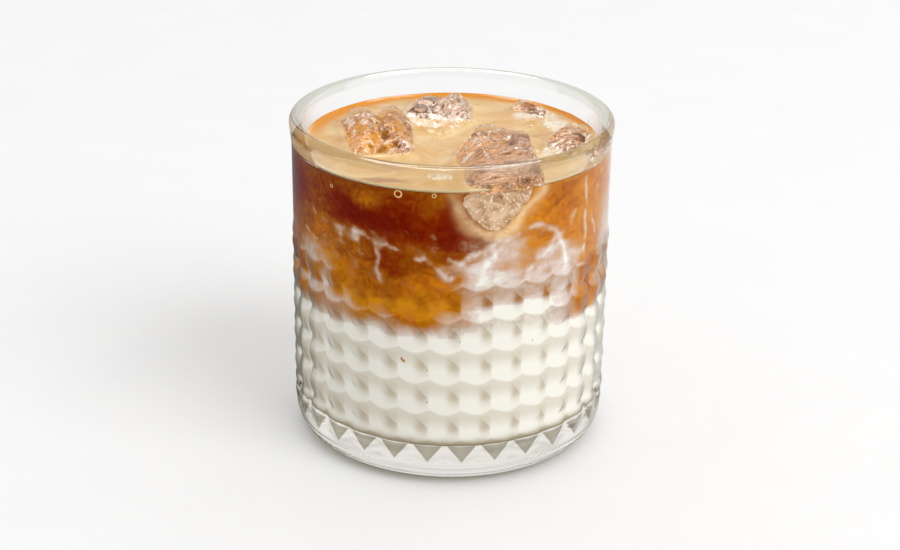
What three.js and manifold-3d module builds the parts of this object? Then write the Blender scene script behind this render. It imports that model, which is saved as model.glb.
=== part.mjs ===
import * as THREE from "three";
import { mergeVertices } from "three/addons/utils/BufferGeometryUtils.js";
import Module from "manifold-3d";

// Iced latte in a pressed glass tumbler: milk below, coffee above, a film of crema and five chunks of ice.
// Millimetres, +Z up, origin on the table under the glass's axis. The front looks along -Y.

const degree = Math.PI / 180;

// Glass
const glassHeight = 87;
const bodyRadius = 41.45;
const rimRadius = 42;
const rimThickness = 3.1;
const beadHeight = 7;
const heelRadius = 7.2;
const footInnerRadius = 30.5;
const footRecess = 1.6;
const recessRadius = 26;
const recessEdge = 1.2;
const floorHeight = 9.5;
const floorFillet = 3.5;
const innerFloorRadius = 37.2;
const innerLevelRadius = 37.9;
const arcSteps = 4;
const lipSteps = 7;

// Four-sided studs that stand out of the wall in rows and columns, with a hollow between each four of them
const studColumns = 30;
const studRows = 6;
const studPitch = 8.56;
const studHeight = 0.55;
const hollowDepth = 0.9;
const firstColumnAngle = -1.18 * degree;
const segments = 2 * studColumns;

// Drink
const fitGap = 0.3;
const drinkLevel = 79.6;
const cremaThickness = 1.2;
const milkLevel = 43;
const milkSwell = 1.6;
const milkSwellsAround = 4;
const plumeRise = 19;
const plumeAngle = 25 * degree;
const plumeWidth = 21 * degree;
const milkRings = 6;

// Ice: each chunk is a block with a centre, half sizes along its own axes, a turn about Z and a seed that
// tilts its sides, cut by the facets that show: [azimuth from the front, elevation, share of the half size]
const chunkDetail = 4;
const chunkSharpness = 14;
const blockSides = 6;
const sideTilt = 0.3;
const sideSpread = 0.16;
const tiltStride = 7;
const scatterPhase = 12.9898;
const scatterGain = 43758.5453;
const iceChunks = [
  {
    name: "ice_left",
    at: [-18.8, -1.6, 75.6],
    half: [11.4, 14.5, 10.6],
    turn: 4,
    seed: 2,
    facets: [[0, 50, 0.92], [-82, 42, 0.86], [88, 40, 0.88], [0, 78, 0.99]],
  },
  {
    name: "ice_back",
    at: [-3, 21.8, 76],
    half: [11.6, 9.2, 10],
    turn: -8,
    seed: 5,
    facets: [[5, 48, 0.9], [-95, 42, 0.86], [95, 38, 0.84], [178, 40, 0.9]],
  },
  {
    name: "ice_front",
    at: [9.8, -19, 74],
    half: [11.6, 19, 12],
    turn: 4,
    seed: 8,
    facets: [[-84, 54, 0.86], [0, 74, 0.97], [-130, 14, 0.88], [-60, -40, 0.82], [60, -40, 0.82]],
  },
  {
    name: "ice_right_back",
    at: [24, 19.5, 75],
    half: [9.4, 7.6, 6.6],
    turn: -30,
    seed: 11,
    facets: [[-20, 66, 0.9], [150, 45, 0.9]],
  },
  {
    name: "ice_right",
    at: [29.6, -4.4, 75],
    half: [6.8, 10.8, 8.6],
    turn: -12,
    seed: 14,
    facets: [[-40, 60, 0.88], [85, 50, 0.96], [-110, 40, 0.96]],
  },
];

const wasm = await Module();
wasm.setup();

// Geometry with positions alone, its shared vertices merged.
function bare(geometry) {
  geometry.deleteAttribute("normal");
  geometry.deleteAttribute("uv");
  return mergeVertices(geometry, 1e-4);
}

function solidOf(geometry) {
  const merged = bare(geometry.clone());
  const triVerts = new Uint32Array(merged.index.array);
  const vertProperties = merged.attributes.position.array;
  return new wasm.Manifold(new wasm.Mesh({ numProp: 3, vertProperties, triVerts }));
}

// The largest body of a solid, so that a scrap cut loose is dropped.
function largestBody(solid) {
  const bodies = solid.decompose();
  return bodies.reduce((best, body) => (body.volume() > best.volume() ? body : best));
}

function geometryOf(solid) {
  const mesh = solid.getMesh();
  const geometry = new THREE.BufferGeometry();
  geometry.setAttribute("position", new THREE.BufferAttribute(mesh.vertProperties, 3));
  geometry.setIndex(new THREE.BufferAttribute(mesh.triVerts, 1));
  geometry.computeVertexNormals();
  return geometry;
}

function arc(centreRadius, centreHeight, radius, from, to, steps) {
  return Array.from({ length: steps + 1 }, (_, k) => {
    const angle = from + ((to - from) * k) / steps;
    const across = centreRadius + radius * Math.cos(angle);
    return new THREE.Vector2(across, centreHeight + radius * Math.sin(angle));
  });
}

// A profile of radius and height turned about +Z, its first column at the studs' first column.
function turned(profile) {
  return new THREE.LatheGeometry(profile, segments, firstColumnAngle).rotateX(Math.PI / 2);
}

// The inside of the glass drawn in by a gap, from the axis at the floor up to a height on the wall.
function insideProfile(gap, top) {
  const rise = (top - floorHeight - floorFillet) / (drinkLevel - floorHeight - floorFillet);
  const wallRadius = innerFloorRadius + (innerLevelRadius - innerFloorRadius) * rise;
  const centreRadius = innerFloorRadius - floorFillet;
  const centreHeight = floorHeight + floorFillet;
  return [
    new THREE.Vector2(0, floorHeight + gap),
    ...arc(centreRadius, centreHeight, floorFillet - gap, -Math.PI / 2, 0, arcSteps),
    new THREE.Vector2(wallRadius - gap, top),
  ];
}

function makeGlass() {
  const studBottom = heelRadius;
  const halfRows = 2 * studRows;
  const halfPitch = studPitch / 2;
  const lipRadius = rimThickness / 2;
  const lipHeight = glassHeight - lipRadius;
  const below = [
    new THREE.Vector2(0, footRecess),
    new THREE.Vector2(recessRadius, recessEdge),
    new THREE.Vector2(footInnerRadius, 0),
    ...arc(bodyRadius - heelRadius, heelRadius, heelRadius, -Math.PI / 2, 0, arcSteps),
  ];
  const firstStudPoint = below.length - 1;
  const studs = Array.from(
    { length: halfRows },
    (_, row) => new THREE.Vector2(bodyRadius, studBottom + halfPitch * (row + 1)),
  );
  const above = [
    new THREE.Vector2(bodyRadius, glassHeight - beadHeight),
    ...arc(rimRadius - lipRadius, lipHeight, lipRadius, 0, Math.PI, lipSteps),
  ];
  const profile = [...below, ...studs, ...above, ...insideProfile(0, drinkLevel).reverse()];
  const geometry = turned(profile);
  const position = geometry.attributes.position;
  const index = geometry.index;
  const isCorner = (column, row) => (column + row) % 2 === 1;

  // Stud peaks move out and hollows move in, and each cell is split between the corners they share.
  for (let column = 0; column <= segments; column++) {
    for (let row = 1; row < halfRows; row++) {
      if (isCorner(column, row)) continue;
      const isPeak = row % 2 === 1;
      const scale = 1 + (isPeak ? studHeight : -hollowDepth) / bodyRadius;
      const point = column * profile.length + firstStudPoint + row;
      position.setX(point, position.getX(point) * scale);
      position.setY(point, position.getY(point) * scale);
    }
  }
  for (let column = 0; column < segments; column++) {
    for (let row = 0; row < halfRows; row++) {
      if (!isCorner(column, row)) continue;
      const near = column * profile.length + firstStudPoint + row;
      const far = near + profile.length;
      const face = 6 * (column * (profile.length - 1) + firstStudPoint + row);
      [near, far, far + 1, near, far + 1, near + 1].forEach((v, k) => index.setX(face + k, v));
    }
  }
  return solidOf(geometry);
}

// Height of the milk under a point: a swell all round, and a plume drawn up at the front right.
function milkTop(x, y, radius) {
  const angle = Math.atan2(x, -y);
  const outward = (Math.hypot(x, y) / radius) ** 2;
  const plume = plumeRise * Math.exp(-(((angle - plumeAngle) / plumeWidth) ** 2));
  const swell = milkSwell * Math.cos(milkSwellsAround * angle + milkSwell);
  return milkLevel + outward * (plume + swell);
}

// A disc from the table up to a surface given by a function of x and y, wider than the glass's inside.
function discUnder(height, ringCount) {
  const top = drinkLevel;
  const rings = Array.from(
    { length: ringCount + 1 },
    (_, k) => new THREE.Vector2(bodyRadius * (1 - k / ringCount), top),
  );
  const geometry = turned([new THREE.Vector2(0, 0), new THREE.Vector2(bodyRadius, 0), ...rings]);
  const position = geometry.attributes.position;
  for (let i = 0; i < position.count; i++) {
    if (position.getZ(i) < top / 2) continue;
    position.setZ(i, height(position.getX(i), position.getY(i), bodyRadius));
  }
  return solidOf(geometry);
}

// A number from 0 to 1 that looks random but depends only on its seed.
function scatter(seed) {
  const wave = Math.sin(seed * scatterPhase) * scatterGain;
  return wave - Math.floor(wave);
}

function chunkPlanes({ seed, facets }) {
  const planes = facets.map(([azimuth, elevation, share]) => ({
    normal: new THREE.Vector3(
      Math.sin(azimuth * degree) * Math.cos(elevation * degree),
      -Math.cos(azimuth * degree) * Math.cos(elevation * degree),
      Math.sin(elevation * degree),
    ),
    share,
  }));
  for (let side = 0; side < blockSides; side++) {
    const tilt = [0, 1, 2].map((axis) => sideTilt * (scatter(seed + side + tiltStride * axis) - 0.5));
    const normal = new THREE.Vector3(...tilt);
    normal.setComponent(side % 3, side < blockSides / 2 ? 1 : -1);
    planes.push({ normal: normal.normalize(), share: 1 - sideSpread * scatter(seed * side) });
  }
  return planes;
}

// A chunk of ice: a ball flattened by planes whose edges are melted round, grown outwards by a clearance.
function chunkGeometry(chunk, growth) {
  const geometry = bare(new THREE.IcosahedronGeometry(1, chunkDetail));
  const planes = chunkPlanes(chunk);
  const position = geometry.attributes.position;
  const point = new THREE.Vector3();
  const outward = new THREE.Vector3();
  for (let i = 0; i < position.count; i++) {
    point.fromBufferAttribute(position, i).normalize();
    const pushes = planes.map(
      (plane) => Math.max(0, plane.normal.dot(point) / plane.share) ** chunkSharpness,
    );
    const reach = pushes.reduce((sum, push) => sum + push, 0) ** (-1 / chunkSharpness);
    position.setXYZ(i, point.x * reach, point.y * reach, point.z * reach);
  }
  geometry.scale(...chunk.half);
  geometry.computeVertexNormals();
  for (let i = 0; i < position.count; i++) {
    outward.fromBufferAttribute(geometry.attributes.normal, i);
    point.fromBufferAttribute(position, i).addScaledVector(outward, growth);
    position.setXYZ(i, point.x, point.y, point.z);
  }
  geometry.rotateZ(chunk.turn * degree);
  return geometry.translate(...chunk.at);
}

function named(name, solid, look) {
  const material = new THREE.MeshStandardMaterial({ metalness: 0, ...look });
  const mesh = new THREE.Mesh(geometryOf(solid), material);
  mesh.name = name;
  return mesh;
}

const room = solidOf(turned([...insideProfile(fitGap, glassHeight), new THREE.Vector2(0, glassHeight)]));
const ice = iceChunks.map((chunk) => solidOf(chunkGeometry(chunk, 0)).intersect(room));
const iceWithGap = iceChunks.map((chunk) => solidOf(chunkGeometry(chunk, fitGap)));
const withoutIce = (solid) => largestBody(iceWithGap.reduce((rest, chunk) => rest.subtract(chunk), solid));

const underMilk = discUnder(milkTop, milkRings);
const underCoffeeFloor = discUnder((x, y, radius) => milkTop(x, y, radius) + fitGap, milkRings);
const underCoffee = discUnder(() => drinkLevel - cremaThickness - fitGap, 1);
const underCremaFloor = discUnder(() => drinkLevel - cremaThickness, 1);
const underCrema = discUnder(() => drinkLevel, 1);

const latte = new THREE.Group();
latte.add(
  named("glass", makeGlass(), { color: 0xf3f5f2, roughness: 0.03, transparent: true, opacity: 0.3 }),
  named("milk", withoutIce(room.intersect(underMilk)), { color: 0xeee7da, roughness: 0.35 }),
  named("coffee", withoutIce(room.intersect(underCoffee).subtract(underCoffeeFloor)), {
    color: 0xa8500a,
    roughness: 0.2,
  }),
  named("crema", withoutIce(room.intersect(underCrema).subtract(underCremaFloor)), {
    color: 0xe3bd86,
    roughness: 0.25,
  }),
);
iceChunks.forEach(({ name }, k) => {
  latte.add(named(name, ice[k], { color: 0xe6d3c2, roughness: 0.08, transparent: true, opacity: 0.5 }));
});

export default latte;
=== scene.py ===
import itertools
import math

import bmesh
import bpy
import numpy as np
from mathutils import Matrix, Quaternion, Vector


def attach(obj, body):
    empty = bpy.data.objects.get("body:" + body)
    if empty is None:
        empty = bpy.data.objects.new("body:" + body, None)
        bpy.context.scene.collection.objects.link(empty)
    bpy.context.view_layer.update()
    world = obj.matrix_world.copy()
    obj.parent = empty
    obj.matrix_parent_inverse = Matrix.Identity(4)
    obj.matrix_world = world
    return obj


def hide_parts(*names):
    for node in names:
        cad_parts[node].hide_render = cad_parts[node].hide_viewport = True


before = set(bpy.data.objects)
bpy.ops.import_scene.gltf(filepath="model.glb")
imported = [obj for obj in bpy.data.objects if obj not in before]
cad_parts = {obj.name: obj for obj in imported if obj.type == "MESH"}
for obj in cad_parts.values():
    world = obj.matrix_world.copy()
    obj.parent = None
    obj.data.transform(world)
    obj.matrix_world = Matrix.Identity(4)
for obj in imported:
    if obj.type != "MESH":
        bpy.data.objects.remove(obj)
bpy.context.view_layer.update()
mm = 0.001


# Shared helpers for meshes

def cornerValue(cell, seed):  # a fixed value from 0 to 1 for each corner of a grid
    n = cell[:, 0] * 374761393 + cell[:, 1] * 668265263 + cell[:, 2] * 1274126177 + seed * 974711
    n = ((n ^ (n >> 13)) * 1103515245) & 0x7FFFFFFF
    n = ((n ^ (n >> 15)) * 12345701) & 0x7FFFFFFF
    return n / 0x7FFFFFFF


def cloud(points, size, seed, octaves=3):  # soft fractal noise from 0 to 1, size in mm
    p = np.asarray(points, float) / size
    total, weight, amp = np.zeros(len(p)), 0.0, 1.0
    for octave in range(octaves):
        cell = np.floor(p).astype(np.int64)
        f = p - cell
        f = f * f * (3 - 2 * f)
        for corner in itertools.product((0, 1), repeat=3):
            share = np.prod(np.where(np.array(corner) == 1, f, 1 - f), axis=1)
            total += amp * share * cornerValue(cell + np.array(corner), seed + octave)
        weight += amp
        amp *= 0.5
        p = p * 2.03 + 17.1
    return total / weight


def scatter(seed):  # a fixed value from 0 to 1 for each seed
    value = math.sin(seed * 12.9898) * 43758.5453
    return value - math.floor(value)


def smoothStep(low, high, value):
    t = np.clip((value - low) / (high - low), 0, 1)
    return t * t * (3 - 2 * t)


def meshPiece(name, points, faces):
    mesh = bpy.data.meshes.new(name)
    mesh.from_pydata((np.asarray(points) * mm).tolist(), [], faces)
    mesh.update()
    mesh.shade_smooth()
    piece = bpy.data.objects.new(name, mesh)
    bpy.context.scene.collection.objects.link(piece)
    return piece


def turnedMesh(name, rings, firstPole, lastPole):  # rows x columns x 3, closed by a point at each end
    rows, columns = rings.shape[:2]
    points = np.concatenate([rings.reshape(-1, 3), [firstPole], [lastPole]])
    here = np.arange(columns)
    after = (here + 1) % columns
    base = (np.arange(rows - 1) * columns)[:, None]
    quads = np.stack([base + here, base + after, base + after + columns, base + here + columns], -1)
    top = (rows - 1) * columns
    faces = quads.reshape(-1, 4).tolist()
    faces += [[after[i], here[i], rows * columns] for i in range(columns)]
    faces += [[top + here[i], top + after[i], rows * columns + 1] for i in range(columns)]
    return meshPiece(name, points, faces)


def ring(radius, height, angles):
    radius = np.broadcast_to(radius, angles.shape)
    height = np.broadcast_to(height, angles.shape)
    return np.stack([radius * np.sin(angles), -radius * np.cos(angles), height], -1)


def profileRings(profile, angles):
    return [ring(r, z, angles) for r, z in profile]


def roundAngles(columns):
    return np.arange(columns) * 2 * math.pi / columns


def angleOf(points):  # degrees from the front
    return np.degrees(np.arctan2(points[:, 0], -points[:, 1]))


def arcPoints(centre, radius, start, end, steps):
    turn = np.radians(np.linspace(start, end, steps + 1))
    return [(centre[0] + radius * math.cos(t), centre[1] + radius * math.sin(t)) for t in turn]


def linePoints(a, b, steps):  # leaves out the first point
    return [(a[0] + (b[0] - a[0]) * i / steps, a[1] + (b[1] - a[1]) * i / steps) for i in range(1, steps + 1)]


def carve(piece, cutters):
    for cutter in cutters:
        cut = piece.modifiers.new("carve", "BOOLEAN")
        cut.object = cutter
        cut.operation = "DIFFERENCE"
        cut.solver = "MANIFOLD"
    ready = piece.evaluated_get(bpy.context.evaluated_depsgraph_get())
    mesh = bpy.data.meshes.new_from_object(ready)
    mesh.name = piece.name
    piece.modifiers.clear()
    piece.data = mesh
    mesh.shade_smooth()


def pointsOf(piece):
    flat = np.empty(len(piece.data.vertices) * 3)
    piece.data.vertices.foreach_get("co", flat)
    return flat.reshape(-1, 3) / mm


def setShare(piece, name, values):
    layer = piece.data.attributes.new(name, "FLOAT", "POINT")
    layer.data.foreach_set("value", np.asarray(values, np.float32))


def setTint(piece, name, colours):
    layer = piece.data.attributes.new(name, "FLOAT_COLOR", "POINT")
    layer.data.foreach_set("color", np.asarray(colours, np.float32).ravel())


def place(piece, material, slot, *nodes):
    piece.data.materials.clear()
    piece.data.materials.append(material)
    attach(piece, "root")
    if nodes:
        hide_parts(*nodes)


# Shared helpers for materials

def startMaterial(name):
    material = bpy.data.materials.new(name)
    material.use_nodes = True
    return material, material.node_tree, material.node_tree.nodes["Principled BSDF"]


def fill(tree, made, inputs):  # links the sockets and sets the plain values
    for key, value in inputs.items():
        if isinstance(value, bpy.types.NodeSocket):
            tree.links.new(value, made.inputs[key])
        else:
            made.inputs[key].default_value = value


def node(tree, kind, inputs=None, **settings):
    made = tree.nodes.new(kind)
    for key, value in settings.items():
        setattr(made, key, value)
    fill(tree, made, inputs or {})
    return made


def calc(tree, operation, a, b=0.0, c=0.0):
    return node(tree, "ShaderNodeMath", {0: a, 1: b, 2: c}, operation=operation).outputs[0]


def product(tree, first, *others):
    for other in others:
        first = calc(tree, "MULTIPLY", first, other)
    return first


def softEdge(tree, value, low, high):
    return node(tree, "ShaderNodeMapRange", {"Value": value, "From Min": low, "From Max": high},
                interpolation_type="SMOOTHSTEP").outputs["Result"]


def placeEdge(tree, value, low, high):  # low and high in mm
    return softEdge(tree, value, low * mm, high * mm)


def ramp(tree, value, stops):
    made = node(tree, "ShaderNodeValToRGB", {"Fac": value})
    bar = made.color_ramp.elements
    while len(bar) < len(stops):
        bar.new(0.5)
    for element, (at, colour) in zip(bar, stops):
        element.position = at
        element.color = (*colour, 1)
    return made.outputs["Color"]


def mixColour(tree, factor, a, b, blend="MIX"):
    a, b = ((*colour, 1) if isinstance(colour, tuple) else colour for colour in (a, b))
    return node(tree, "ShaderNodeMix", {0: factor, 6: a, 7: b}, data_type="RGBA", blend_type=blend).outputs[2]


def readShare(tree, name):
    return node(tree, "ShaderNodeAttribute", attribute_name=name).outputs["Fac"]


def surfacePlace(tree):  # x, y and z of the surface
    where = tree.nodes.new("ShaderNodeTexCoord").outputs["Object"]
    return node(tree, "ShaderNodeSeparateXYZ", {0: where}).outputs


def makeMottleGroup():  # warped noise in object space, shared by nearly all materials
    group = bpy.data.node_groups.new("mottle", "ShaderNodeTree")
    for name, start in (("Size", 200.0), ("Warp", 0.5), ("Detail", 4.0)):
        socket = group.interface.new_socket(name, in_out="INPUT", socket_type="NodeSocketFloat")
        socket.default_value = start
    group.interface.new_socket("Value", in_out="OUTPUT", socket_type="NodeSocketFloat")
    got = group.nodes.new("NodeGroupInput").outputs
    out = group.nodes.new("NodeGroupOutput")
    where = group.nodes.new("ShaderNodeTexCoord").outputs["Object"]
    noise = node(group, "ShaderNodeTexNoise", {"Vector": where, "Scale": got["Size"], "Detail": got["Detail"],
                                               "Distortion": got["Warp"]})
    group.links.new(noise.outputs["Fac"], out.inputs["Value"])
    return group


mottleGroup = makeMottleGroup()


def mottle(tree, size, warp, detail):
    inputs = {"Size": size, "Warp": warp, "Detail": detail}
    return node(tree, "ShaderNodeGroup", inputs, node_tree=mottleGroup).outputs["Value"]


def bump(tree, height, strength, distance):
    inputs = {"Height": height, "Strength": strength, "Distance": distance}
    return node(tree, "ShaderNodeBump", inputs).outputs["Normal"]


def passLight(tree, bsdf, tint, share=0.0):  # lamp light, and this share of any, goes straight through
    path = tree.nodes.new("ShaderNodeLightPath")
    passing = calc(tree, "MAXIMUM", path.outputs["Is Shadow Ray"], path.outputs["Is Diffuse Ray"])
    passing = calc(tree, "MAXIMUM", passing, share)
    clear = node(tree, "ShaderNodeBsdfTransparent", {"Color": tint})
    mixed = node(tree, "ShaderNodeMixShader", {0: passing, 1: bsdf.outputs[0], 2: clear.outputs[0]})
    fill(tree, tree.nodes["Material Output"], {"Surface": mixed.outputs[0]})


def mirrored(tree):  # 1 for light that comes off a glossy surface, not through it
    path = tree.nodes.new("ShaderNodeLightPath")
    straight = calc(tree, "SUBTRACT", 1.0, path.outputs["Is Transmission Ray"])
    return product(tree, path.outputs["Is Glossy Ray"], straight)


# Tumbler of pressed glass, with a band of four-sided studs

tumbler = {
    "height": 87, "bodyRadius": 41.45, "rimRadius": 42, "rimThickness": 3.1, "beadHeight": 7,
    "heelRadius": 7.2, "footInner": 30.5, "footRecess": 1.6, "recessRadius": 26, "recessEdge": 1.2,
    "floorHeight": 9.5, "floorFillet": 3.5, "innerFloor": 37.2, "innerLevel": 37.9, "level": 79.6,
    "studColumns": 30, "studRows": 6, "studPitch": 8.56, "studHeight": 0.55, "hollowDepth": 0.9,
    "firstAngle": 4.82, "ridgeRound": 0.05, "creaseRound": 0.05, "steps": 7,
    "seamAngles": (-7.2, 112.8, 232.8), "seamHeight": 0.14, "seamWidth": 0.28,
    "heelRings": (-15, -38), "ringDepth": 0.2, "ringWidth": 0.4, "heelSteps": 44,
    "bandStart": 0.5, "bandInset": 0.02,
}
glassLook = {  # heights in mm
    "clear": (0.985, 0.99, 0.985), "ior": 1.5, "wallGloss": (0.2, 0.2, 0.2), "lipGloss": (1.0, 1.0, 1.0),
    # the facet tint is painted shade, seen through the facets under the lowest studs
    "facetPaintedShade": (0.17, 0.14, 0.065), "facetSlope": 1.32, "facetShade": (0.12, 0.86), "facetTop": (1.2, 1.1),
    # the edge tint is the glass's own green with painted shade, seen edge on
    "edgeGreenAndShade": (0.16, 0.155, 0.10), "edgeFacing": (0.48, 0.85), "edgeHeight": (61, 56),
    "edgeShare": (0.75, 0.25),
    "shadowTint": (0.93, 0.94, 0.93), "footShadowTint": (0.3, 0.275, 0.225), "footHeight": (6, 0.5),
    "bareHeight": (80, 80.6), "trappedFacing": (0.23, 0.27), "trappedGreenAndShade": (0.72, 0.72, 0.64),
    "lipHeight": (84.2, 85), "lipPass": 0.4,
}


def innerRadius(z):  # the inside wall by height, above the floor's fillet
    t = tumbler
    slope = (t["innerLevel"] - t["innerFloor"]) / (t["level"] - t["floorHeight"] - t["floorFillet"])
    low = t["innerFloor"] + slope * (z - t["floorHeight"] - t["floorFillet"])
    lipFoot = t["height"] - t["rimThickness"] / 2
    flare = t["rimRadius"] - t["rimThickness"] - t["innerLevel"]
    lip = t["innerLevel"] + flare * (z - t["level"]) / (lipFoot - t["level"])
    return np.where(z > t["level"], lip, low)


def filletCentre():  # of the rounding between the inside wall and the floor
    t = tumbler
    return t["innerFloor"] - t["floorFillet"], t["floorHeight"] + t["floorFillet"]


def studRelief(angles, z):  # four-sided studs in rows and columns, with a shallow hollow between each four
    t = tumbler
    u = (angles - math.radians(t["firstAngle"])) / (math.pi / t["studColumns"])
    v = (z - t["heelRadius"]) / (t["studPitch"] / 2)
    du = np.hypot(u - 2 * np.round(u / 2), t["ridgeRound"]) - t["ridgeRound"]
    dv = np.hypot((v - 1) - 2 * np.round((v - 1) / 2), t["ridgeRound"]) - t["ridgeRound"]
    rise = 1 - du - dv
    stud = (rise + np.hypot(rise, t["creaseRound"])) / 2
    edge = np.clip(np.minimum(v, 2 * t["studRows"] - v), 0, 1)
    return t["studHeight"] * stud - t["hollowDepth"] * smoothStep(0, 1, -rise) * edge


def heelPoints(centre):  # the rounded heel, with two fine mould rings round it
    t = tumbler
    turn = np.linspace(-90, 0, t["heelSteps"] + 1)[:-1]
    radius = np.full(len(turn), float(t["heelRadius"]))
    for at in t["heelRings"]:
        radius -= t["ringDepth"] * np.exp(-(np.radians(turn - at) * t["heelRadius"] / t["ringWidth"]) ** 2)
    turn = np.radians(turn)
    return [(centre[0] + r * math.cos(a), centre[1] + r * math.sin(a)) for r, a in zip(radius, turn)]


def makeTumbler():
    t = tumbler
    columns = 2 * t["studColumns"] * t["steps"]
    angles = roundAngles(columns) + math.radians(t["firstAngle"])
    lipRadius = t["rimThickness"] / 2
    lipHeight = t["height"] - lipRadius
    heelCentre = (t["bodyRadius"] - t["heelRadius"], t["heelRadius"])
    studTop = t["heelRadius"] + t["studRows"] * t["studPitch"]
    recess = t["footRecess"]

    below = [(8, recess), (18, recess - 0.05), (t["recessRadius"] - 2, recess - 0.1)]
    below += [(t["recessRadius"], t["recessEdge"])]
    below += linePoints(below[-1], (t["footInner"], 0), 5)
    below += linePoints((t["footInner"], 0), (heelCentre[0], 0), 3)[:-1]
    rows = profileRings(below + heelPoints(heelCentre), angles)

    studSteps = 2 * t["studRows"] * t["steps"]
    for i in range(studSteps + 1):
        z = t["heelRadius"] + (studTop - t["heelRadius"]) * i / studSteps
        rows.append(ring(t["bodyRadius"] + studRelief(angles, np.full(columns, z)), z, angles))

    seam = np.zeros(columns)
    for seamAngle in t["seamAngles"]:
        off = (angles - math.radians(seamAngle) + math.pi) % (2 * math.pi) - math.pi
        seam += t["seamHeight"] * np.exp(-(off * t["bodyRadius"] / t["seamWidth"]) ** 2)
    bandFoot = (t["bodyRadius"], studTop + t["bandStart"])
    band = linePoints(bandFoot, (t["bodyRadius"] + t["bandInset"], t["height"] - t["beadHeight"]), 8)
    rows.append(ring(bandFoot[0] - t["bandInset"] + 0.5 * seam, bandFoot[1], angles))
    rows += [ring(r - t["bandInset"] + seam, z, angles) for r, z in band]

    lip = arcPoints((t["rimRadius"] - lipRadius, lipHeight), lipRadius, 0, 180, 18)
    inside = linePoints(lip[-1], (t["innerLevel"], t["level"]), 6)
    inside += linePoints(inside[-1], (t["innerFloor"], filletCentre()[1]), 14)[:-1]
    inside += arcPoints(filletCentre(), t["floorFillet"], 0, -90, 14)
    inside += [(22, t["floorHeight"]), (11, t["floorHeight"])]
    rows += profileRings(linePoints(band[-1], (t["rimRadius"], lipHeight), 6)[:-1] + lip + inside, angles)
    return turnedMesh("tumblerGlass", np.stack(rows), (0, 0, recess), (0, 0, t["floorHeight"]))


def studPlace(tree, x, y, z, drop):  # column and row in the studs, in half studs from the first
    t = tumbler
    perTurn = t["studColumns"] / math.pi
    turn = calc(tree, "ARCTAN2", x, product(tree, y, -1.0))
    column = calc(tree, "MULTIPLY_ADD", turn, perTurn, -math.radians(t["firstAngle"]) * perTurn)
    start = 2 * (drop - t["heelRadius"]) / t["studPitch"]
    return column, calc(tree, "MULTIPLY_ADD", z, 2 / (t["studPitch"] * mm), start)


def makeGlassMaterial():
    g = glassLook
    material, tree, bsdf = startMaterial("pressedGlass")
    x, y, z = surfacePlace(tree)
    # painted shade on the facets under the lowest studs, which look into the depth of the base
    column, row = studPlace(tree, x, y, z, 0)
    aside = calc(tree, "PINGPONG", column, 1.0)
    rise = calc(tree, "SUBTRACT", row, product(tree, aside, g["facetSlope"]))
    deep = calc(tree, "MULTIPLY_ADD", aside, *g["facetShade"])
    facet = product(tree, softEdge(tree, rise, 0.0, 0.06), deep, softEdge(tree, row, *g["facetTop"]))
    tint = mixColour(tree, facet, g["clear"], g["facetPaintedShade"])
    # the glass is greener and darker edge on, most of all in the studs: its own green, with painted shade
    facing = node(tree, "ShaderNodeLayerWeight", {"Blend": 0.5}).outputs["Facing"]
    studded = calc(tree, "MULTIPLY_ADD", placeEdge(tree, z, *g["edgeHeight"]), *g["edgeShare"])
    edgeOn = product(tree, softEdge(tree, facing, *g["edgeFacing"]), studded)
    tint = mixColour(tree, edgeOn, tint, g["edgeGreenAndShade"])
    lip = placeEdge(tree, z, *g["lipHeight"])
    gloss = mixColour(tree, lip, g["wallGloss"], g["lipGloss"])
    slowWaves = bump(tree, mottle(tree, size=60, warp=0.3, detail=2), 0.06, 0.002)
    fill(tree, bsdf, {"Base Color": tint, "Transmission Weight": 1, "IOR": g["ior"], "Roughness": 0.0,
                      "Specular Tint": gloss, "Normal": slowWaves})
    # above the drink, light that would run down inside the wall goes straight out
    inside = tree.nodes.new("ShaderNodeNewGeometry").outputs["Backfacing"]
    bare = placeEdge(tree, z, *g["bareHeight"])
    trapped = product(tree, inside, softEdge(tree, facing, *g["trappedFacing"]), bare)
    # near the foot little light goes through: a painted contact shadow under the heel
    through = mixColour(tree, placeEdge(tree, z, *g["footHeight"]), g["shadowTint"], g["footShadowTint"])
    # at the rim's edges the light let through is tinted grey-green: the glass's own green with painted shade
    through = mixColour(tree, trapped, through, g["trappedGreenAndShade"])
    passLight(tree, bsdf, through, calc(tree, "MAXIMUM", trapped, product(tree, lip, g["lipPass"])))
    return material


glassPiece = makeTumbler()
place(glassPiece, makeGlassMaterial(), "clear_glass", "glass")
print("tumbler made,", len(glassPiece.data.polygons), "faces")


# Chunks of ice

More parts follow.
